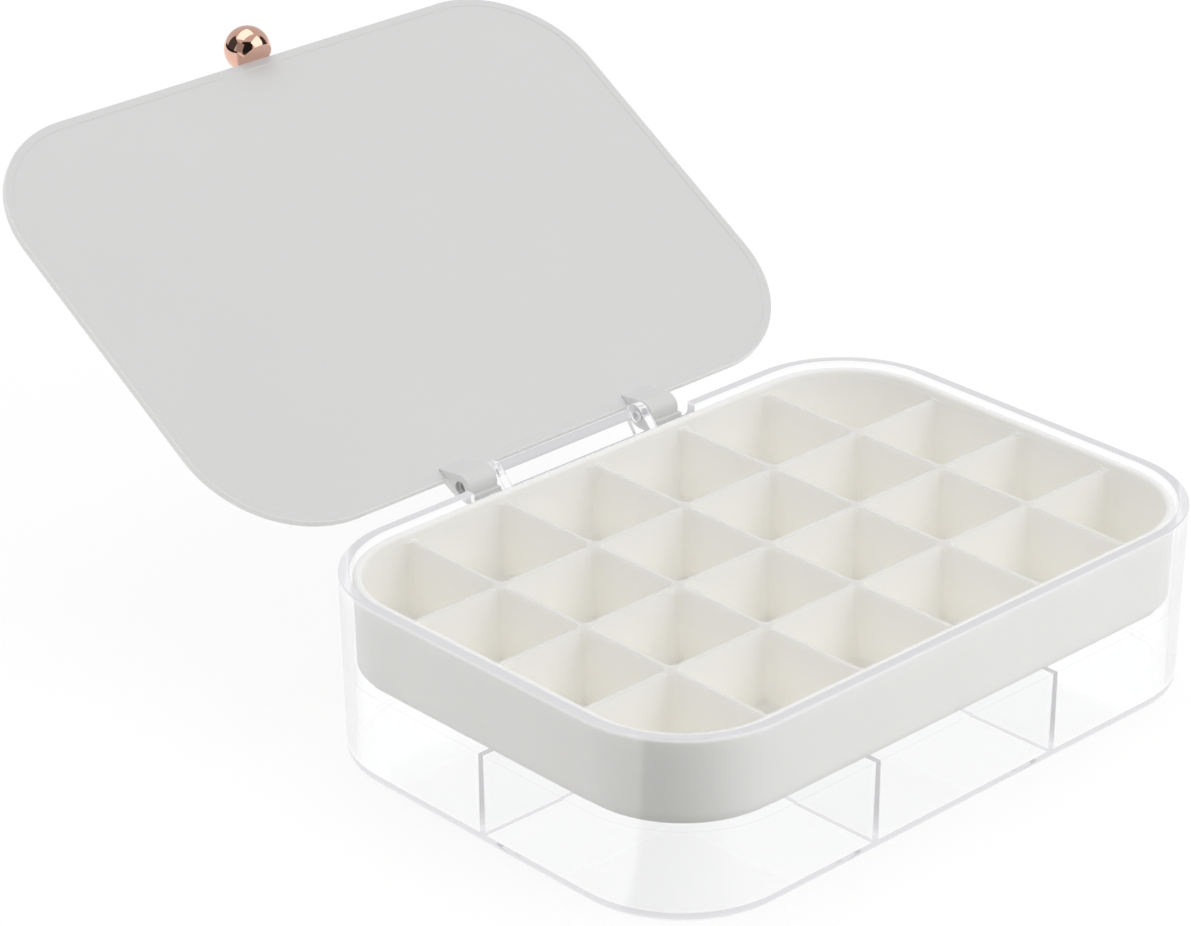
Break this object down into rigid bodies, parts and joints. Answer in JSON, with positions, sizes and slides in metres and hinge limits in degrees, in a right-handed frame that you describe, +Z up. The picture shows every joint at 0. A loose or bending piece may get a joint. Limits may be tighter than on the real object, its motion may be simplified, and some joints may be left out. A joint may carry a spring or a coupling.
{
  "type": "compartment storage box",
  "caption": "Clear rounded storage box with a hinged opaque lid, a metallic ball knob and a lift-out tray of small compartments over larger ones.",
  "frame": {"origin": "centre of the clear box's flat underside", "axes": "+X along the box's long side to the right, +Y from the knob side to the hinge side, +Z up"},
  "size_m": [0.22, 0.3066, 0.1449],
  "materials": {
    "clear_plastic": "polished",
    "tray_plastic": "satin",
    "lid_plastic": "satin",
    "rose_gold": "metallised, mirror",
    "pin_steel": "drawn"
  },
  "bodies": {
    "box": {"base_box": "clear_plastic"},
    "tray": {"compartment_tray": "tray_plastic"},
    "lid": {"lid": "lid_plastic", "knob_ball": "rose_gold", "knob_stud": "pin_steel", "hinge_pin_left": "pin_steel", "hinge_pin_right": "pin_steel"}
  },
  "joints": [
    {"name": "lid_hinge", "type": "hinge", "parent": "box", "child": "lid", "pos_m": [0, 0.08235, 0.0535], "axis": [-1, 0, 0], "range_deg": [-148.5, 0]},
    {"name": "tray_lift", "type": "slide", "parent": "box", "child": "tray", "axis": [0, 0, 1], "range_m": [0, 0.0005]}
  ]
}
